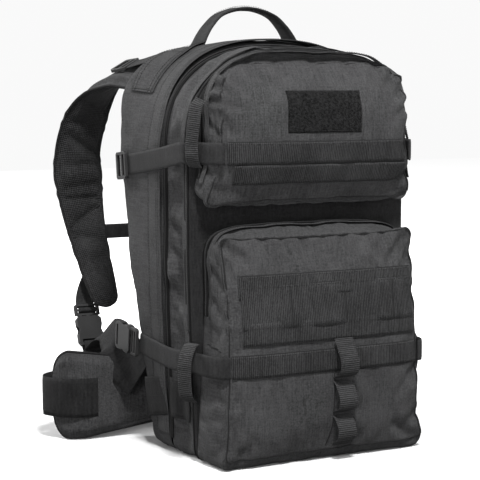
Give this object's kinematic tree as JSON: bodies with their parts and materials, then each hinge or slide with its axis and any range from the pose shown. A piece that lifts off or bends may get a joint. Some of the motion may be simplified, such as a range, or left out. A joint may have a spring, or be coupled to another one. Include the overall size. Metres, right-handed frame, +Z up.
{
  "type": "trauma backpack",
  "caption": "Clamshell medical backpack with two zipped compartments, two front pockets, webbing rows, compression straps, padded shoulder straps and a hip belt.",
  "frame": {"origin": "on the ground plane, on the flat base under the second compartment, on the middle of the width", "axes": "+Z up, the front pockets face -Y, the back panel and harness are on the +Y side, +X is the wearer's right"},
  "size_m": [0.4866, 0.4111, 0.5315],
  "materials": {
    "pack_fabric": "woven polyester",
    "webbing": "ribbed webbing",
    "padding": "spacer mesh over foam",
    "loop_pile": "fuzzy loop pile",
    "plastic": "moulded acetal",
    "frame_sheet": "sheet plastic",
    "zip_metal": "black coated"
  },
  "bodies": {
    "pack_body": {"main_shell": "pack_fabric", "frame_sheet": "frame_sheet", "back_pad": "padding", "main_zip_tape": "webbing", "side_band_left": "webbing", "side_band_right": "webbing", "shoulder_strap_left": "padding", "shoulder_strap_right": "padding", "load_lifter_webbing_left": "webbing", "load_lifter_webbing_right": "webbing", "lower_strap_left": "webbing", "lower_strap_right": "webbing", "shoulder_buckle_female_left": "plastic", "shoulder_buckle_female_right": "plastic", "compression_buckle_female_left": "plastic", "compression_buckle_female_right": "plastic"},
    "second_compartment": {"second_shell": "pack_fabric", "second_zip_tape": "webbing"},
    "front_section": {"front_panel": "pack_fabric", "upper_pocket": "pack_fabric", "lower_pocket": "pack_fabric", "upper_pocket_zip_tape": "webbing", "lower_pocket_zip_tape": "webbing", "upper_compression_strap": "webbing", "lower_compression_strap": "webbing", "upper_molle_row": "webbing", "lower_molle_panel": "webbing", "loop_patch": "loop_pile", "gear_loop_strip": "webbing", "upper_keeper_left": "webbing", "upper_keeper_right": "webbing", "lower_keeper_left": "webbing", "lower_keeper_right": "webbing"},
    "haul_handle": {"haul_handle": "webbing"},
    "hip_belt_left": {"hip_wing_left": "padding", "hip_webbing_left": "webbing", "hip_buckle_female": "plastic"},
    "hip_belt_right": {"hip_wing_right": "padding", "hip_webbing_right": "webbing", "hip_buckle_male": "plastic"},
    "sternum_strap": {"sternum_webbing_left": "webbing", "sternum_webbing_right": "webbing", "sternum_buckle_female": "plastic"},
    "sternum_plug": {"sternum_buckle_male": "plastic"},
    "compression_plug_left": {"compression_buckle_male_left": "plastic"},
    "shoulder_plug_left": {"shoulder_buckle_male_left": "plastic"},
    "compression_lock_left": {"compression_lock_left": "plastic"},
    "load_lifter_lock_left": {"load_lifter_lock_left": "plastic"},
    "compression_plug_right": {"compression_buckle_male_right": "plastic"},
    "shoulder_plug_right": {"shoulder_buckle_male_right": "plastic"},
    "compression_lock_right": {"compression_lock_right": "plastic"},
    "load_lifter_lock_right": {"load_lifter_lock_right": "plastic"},
    "main_zip_slider": {"main_zip_slider": "zip_metal"},
    "main_zip_pull": {"main_zip_pull": "zip_metal"},
    "second_zip_slider": {"second_zip_slider": "zip_metal"},
    "second_zip_pull": {"second_zip_pull": "zip_metal"},
    "lower_pocket_slider": {"lower_pocket_slider": "zip_metal"},
    "lower_pocket_pull": {"lower_pocket_pull": "zip_metal"},
    "upper_pocket_slider": {"upper_pocket_slider": "zip_metal"},
    "upper_pocket_pull": {"upper_pocket_pull": "zip_metal"}
  },
  "joints": [
    {"name": "clamshell_opening", "type": "hinge", "parent": "pack_body", "child": "second_compartment", "pos_m": [0, 0.022, 0], "axis": [1, 0, 0], "range_deg": [0, 85]},
    {"name": "front_panel_opening", "type": "hinge", "parent": "second_compartment", "child": "front_section", "pos_m": [0, -0.036, 0], "axis": [1, 0, 0], "range_deg": [0, 85]},
    {"name": "haul_handle_fold", "type": "hinge", "parent": "pack_body", "child": "haul_handle", "pos_m": [0, 0.095, 0.4865], "axis": [1, 0, 0], "range_deg": [-50, 50]},
    {"name": "hip_belt_left_swing", "type": "hinge", "parent": "pack_body", "child": "hip_belt_left", "pos_m": [-0.107, 0.111, 0.055], "axis": [0, 0, 1], "range_deg": [-33, 5]},
    {"name": "hip_belt_right_swing", "type": "hinge", "parent": "pack_body", "child": "hip_belt_right", "pos_m": [0.107, 0.111, 0.055], "axis": [0, 0, 1], "range_deg": [-5, 33]},
    {"name": "sternum_strap_height", "type": "slide", "parent": "pack_body", "child": "sternum_strap", "axis": [0, 0.248, 0.9688], "range_m": [-0.03, 0.04]},
    {"name": "sternum_buckle_release", "type": "slide", "parent": "sternum_strap", "child": "sternum_plug", "axis": [1, 0, 0], "range_m": [0, 0.022]},
    {"name": "compression_buckle_release_left", "type": "slide", "parent": "pack_body", "child": "compression_plug_left", "axis": [0, -0.9949, -0.1005], "range_m": [0, 0.026]},
    {"name": "shoulder_buckle_release_left", "type": "slide", "parent": "pack_body", "child": "shoulder_plug_left", "axis": [0, 0.3499, 0.9368], "range_m": [0, 0.026]},
    {"name": "compression_lock_tilt_left", "type": "hinge", "parent": "pack_body", "child": "compression_lock_left", "pos_m": [-0.1626, 0.1195, 0.3362], "axis": [0, 0, 1], "range_deg": [-35, 0]},
    {"name": "load_lifter_lock_tilt_left", "type": "hinge", "parent": "pack_body", "child": "load_lifter_lock_left", "pos_m": [-0.11745, 0.21293, 0.45835], "axis": [0.8562, 0.3136, 0.4106], "range_deg": [-35, 0]},
    {"name": "compression_buckle_release_right", "type": "slide", "parent": "pack_body", "child": "compression_plug_right", "axis": [0, -0.9949, -0.1005], "range_m": [0, 0.026]},
    {"name": "shoulder_buckle_release_right", "type": "slide", "parent": "pack_body", "child": "shoulder_plug_right", "axis": [0, 0.3499, 0.9368], "range_m": [0, 0.026]},
    {"name": "compression_lock_tilt_right", "type": "hinge", "parent": "pack_body", "child": "compression_lock_right", "pos_m": [0.1626, 0.1195, 0.3362], "axis": [0, 0, 1], "range_deg": [0, 35]},
    {"name": "load_lifter_lock_tilt_right", "type": "hinge", "parent": "pack_body", "child": "load_lifter_lock_right", "pos_m": [0.11745, 0.21293, 0.45835], "axis": [0.8562, -0.3136, -0.4106], "range_deg": [-35, 0]},
    {"name": "main_zip_travel", "type": "slide", "parent": "pack_body", "child": "main_zip_slider", "axis": [0, 0, 1], "range_m": [-0.02, 0.115]},
    {"name": "main_zip_pull_swing", "type": "hinge", "parent": "main_zip_slider", "child": "main_zip_pull", "pos_m": [0.1573, 0.0285, 0.19], "axis": [0, 1, 0], "range_deg": [-170, 0]},
    {"name": "second_zip_travel", "type": "slide", "parent": "second_compartment", "child": "second_zip_slider", "axis": [0, 0, 1], "range_m": [-0.02, 0.115]},
    {"name": "second_zip_pull_swing", "type": "hinge", "parent": "second_zip_slider", "child": "second_zip_pull", "pos_m": [0.1551, -0.0295, 0.19], "axis": [0, 1, 0], "range_deg": [-170, 0]},
    {"name": "lower_pocket_travel", "type": "slide", "parent": "front_section", "child": "lower_pocket_slider", "axis": [0, 0, 1], "range_m": [-0.01, 0.045]},
    {"name": "lower_pocket_pull_swing", "type": "hinge", "parent": "lower_pocket_slider", "child": "lower_pocket_pull", "pos_m": [0.1369, -0.0475, 0.19], "axis": [0, 1, 0], "range_deg": [-170, 0]},
    {"name": "upper_pocket_travel", "type": "slide", "parent": "front_section", "child": "upper_pocket_slider", "axis": [0, 0, 1], "range_m": [0, 0.05]},
    {"name": "upper_pocket_pull_swing", "type": "hinge", "parent": "upper_pocket_slider", "child": "upper_pocket_pull", "pos_m": [0.1369, -0.0475, 0.33], "axis": [0, 1, 0], "range_deg": [-95, 0]}
  ]
}
